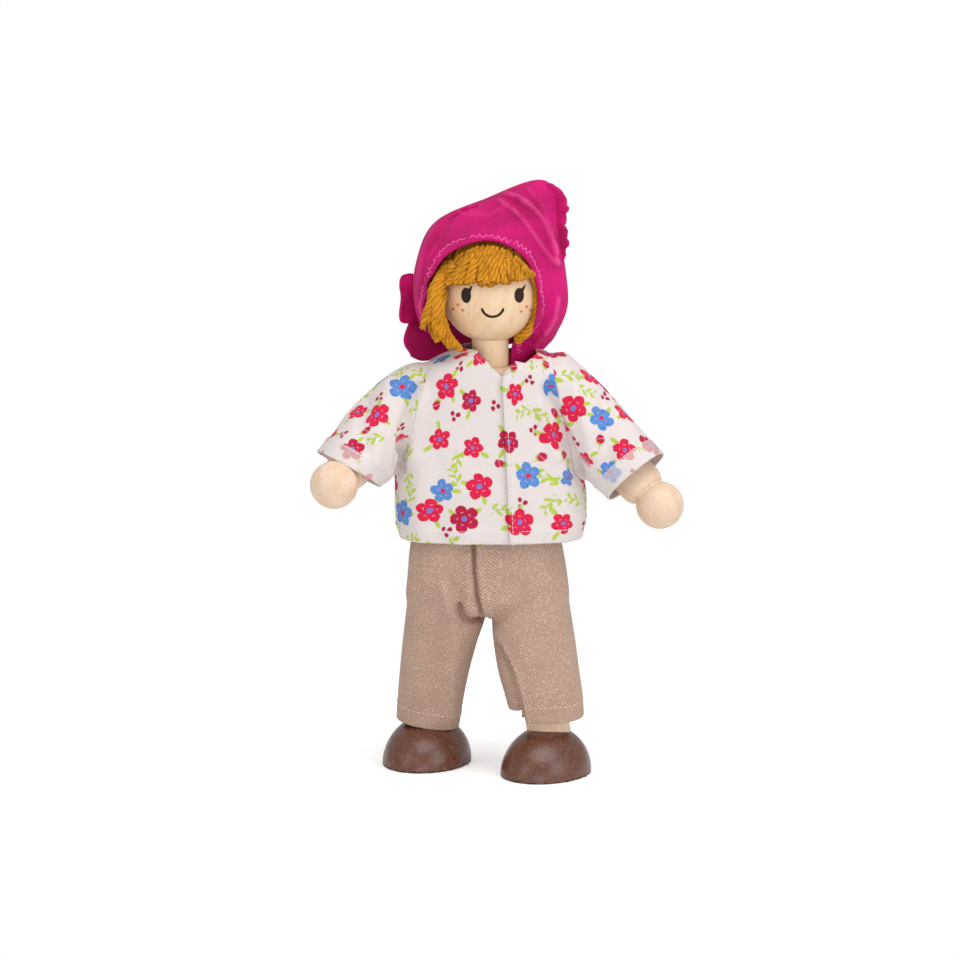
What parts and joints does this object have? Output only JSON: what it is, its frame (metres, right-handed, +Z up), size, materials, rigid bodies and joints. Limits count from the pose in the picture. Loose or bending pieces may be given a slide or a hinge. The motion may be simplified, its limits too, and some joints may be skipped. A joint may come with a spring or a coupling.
{
  "type": "dollhouse doll",
  "caption": "Jointed wooden dollhouse doll with ball head and hands, yarn hair, kerchief, flowered shirt, trousers and half-egg shoes; neck, shoulders, elbows, hips and knees pose by friction",
  "frame": {"origin": "on the floor, in the middle of the figure's box seen from above", "axes": "+Z up; the doll looks along -Y, so its right side is at -X"},
  "size_m": [0.0858, 0.0411, 0.1383],
  "materials": {
    "beech": "turned and sanded, clear matt",
    "peg_wood": "plain pegs",
    "shoe_paint": "brown satin paint",
    "yarn": "plied wool yarn",
    "jersey": "fine cotton jersey with zigzag stitched edge",
    "printed_cotton": "plain weave cotton with a small flower print",
    "twill": "taupe twill",
    "elastic": "flat woven elastic"
  },
  "bodies": {
    "torso": {"torso": "beech", "right_hip_pin": "peg_wood", "left_hip_pin": "peg_wood", "shirt_body": "printed_cotton", "trousers_seat": "twill", "waist_elastic": "elastic"},
    "head": {"head": "beech", "neck_dowel": "beech", "hair_cap": "yarn", "hair_fringe": "yarn", "right_hair_locks": "yarn", "left_hair_lock": "yarn", "kerchief_hood": "jersey", "kerchief_knot": "jersey", "kerchief_loop": "jersey", "kerchief_tail": "jersey"},
    "right_shoulder": {"right_shoulder_hub": "beech", "right_shoulder_pin": "peg_wood"},
    "right_upper_arm": {"right_upper_arm": "beech", "right_elbow_pin": "peg_wood", "right_sleeve": "printed_cotton"},
    "right_forearm": {"right_forearm_and_hand": "beech"},
    "right_thigh": {"right_thigh": "beech", "right_knee_pin": "peg_wood", "right_trouser_leg": "twill"},
    "right_shin": {"right_shin": "beech", "right_shoe": "shoe_paint"},
    "left_shoulder": {"left_shoulder_hub": "beech", "left_shoulder_pin": "peg_wood"},
    "left_upper_arm": {"left_upper_arm": "beech", "left_elbow_pin": "peg_wood", "left_sleeve": "printed_cotton"},
    "left_forearm": {"left_forearm_and_hand": "beech"},
    "left_thigh": {"left_thigh": "beech", "left_knee_pin": "peg_wood", "left_trouser_leg": "twill"},
    "left_shin": {"left_shin": "beech", "left_shoe": "shoe_paint"}
  },
  "joints": [
    {"name": "neck_turn", "type": "hinge", "parent": "torso", "child": "head", "pos_m": [-0.0018, 0.0015, 0.094], "axis": [0, 0, 1], "range_deg": [-60, 60], "deforming": ["kerchief_hood", "kerchief_tail", "right_hair_locks"]},
    {"name": "right_shoulder_swing", "type": "hinge", "parent": "torso", "child": "right_shoulder", "pos_m": [-0.017, 0.0015, 0.0895], "axis": [-1, 0, 0], "range_deg": [-32, 88], "deforming": ["shirt_body", "right_sleeve"]},
    {"name": "left_shoulder_swing", "type": "hinge", "parent": "torso", "child": "left_shoulder", "pos_m": [0.0134, 0.0015, 0.0895], "axis": [-1, 0, 0], "range_deg": [-37, 83], "deforming": ["shirt_body", "left_sleeve"]},
    {"name": "right_shoulder_lift", "type": "hinge", "parent": "right_shoulder", "child": "right_upper_arm", "pos_m": [-0.017, 0.0015, 0.0895], "axis": [0, 0.9993, -0.0382], "range_deg": [-38, 54], "deforming": ["shirt_body", "right_sleeve"]},
    {"name": "left_shoulder_lift", "type": "hinge", "parent": "left_shoulder", "child": "left_upper_arm", "pos_m": [0.0134, 0.0015, 0.0895], "axis": [0, -0.9932, 0.1163], "range_deg": [-34, 57], "deforming": ["shirt_body", "left_sleeve"]},
    {"name": "right_elbow", "type": "hinge", "parent": "right_upper_arm", "child": "right_forearm", "pos_m": [-0.0285, 0.00108, 0.07839], "axis": [-0.6951, 0.0274, 0.7184], "range_deg": [-51, 38], "deforming": ["right_sleeve"]},
    {"name": "left_elbow", "type": "hinge", "parent": "left_upper_arm", "child": "left_forearm", "pos_m": [0.02419, 0.00013, 0.07777], "axis": [-0.7384, -0.0785, -0.6698], "range_deg": [-15, 74], "deforming": ["left_sleeve"]},
    {"name": "right_hip", "type": "hinge", "parent": "torso", "child": "right_thigh", "pos_m": [-0.0094, 0.0015, 0.049], "axis": [-0.9912, 0, 0.1322], "range_deg": [-12, 100], "deforming": ["trousers_seat", "right_trouser_leg"]},
    {"name": "left_hip", "type": "hinge", "parent": "torso", "child": "left_thigh", "pos_m": [0.0058, 0.0015, 0.049], "axis": [-0.9881, 0, -0.1537], "range_deg": [-38, 75], "deforming": ["trousers_seat", "left_trouser_leg"]},
    {"name": "right_knee", "type": "hinge", "parent": "right_thigh", "child": "right_shin", "pos_m": [-0.01229, 0.00623, 0.0273], "axis": [0.9912, 0, -0.1322], "range_deg": [0, 88], "deforming": ["right_trouser_leg"]},
    {"name": "left_knee", "type": "hinge", "parent": "left_thigh", "child": "left_shin", "pos_m": [0.00915, -0.00364, 0.02746], "axis": [0.9881, 0, 0.1537], "range_deg": [-21, 66], "deforming": ["left_trouser_leg"]}
  ]
}
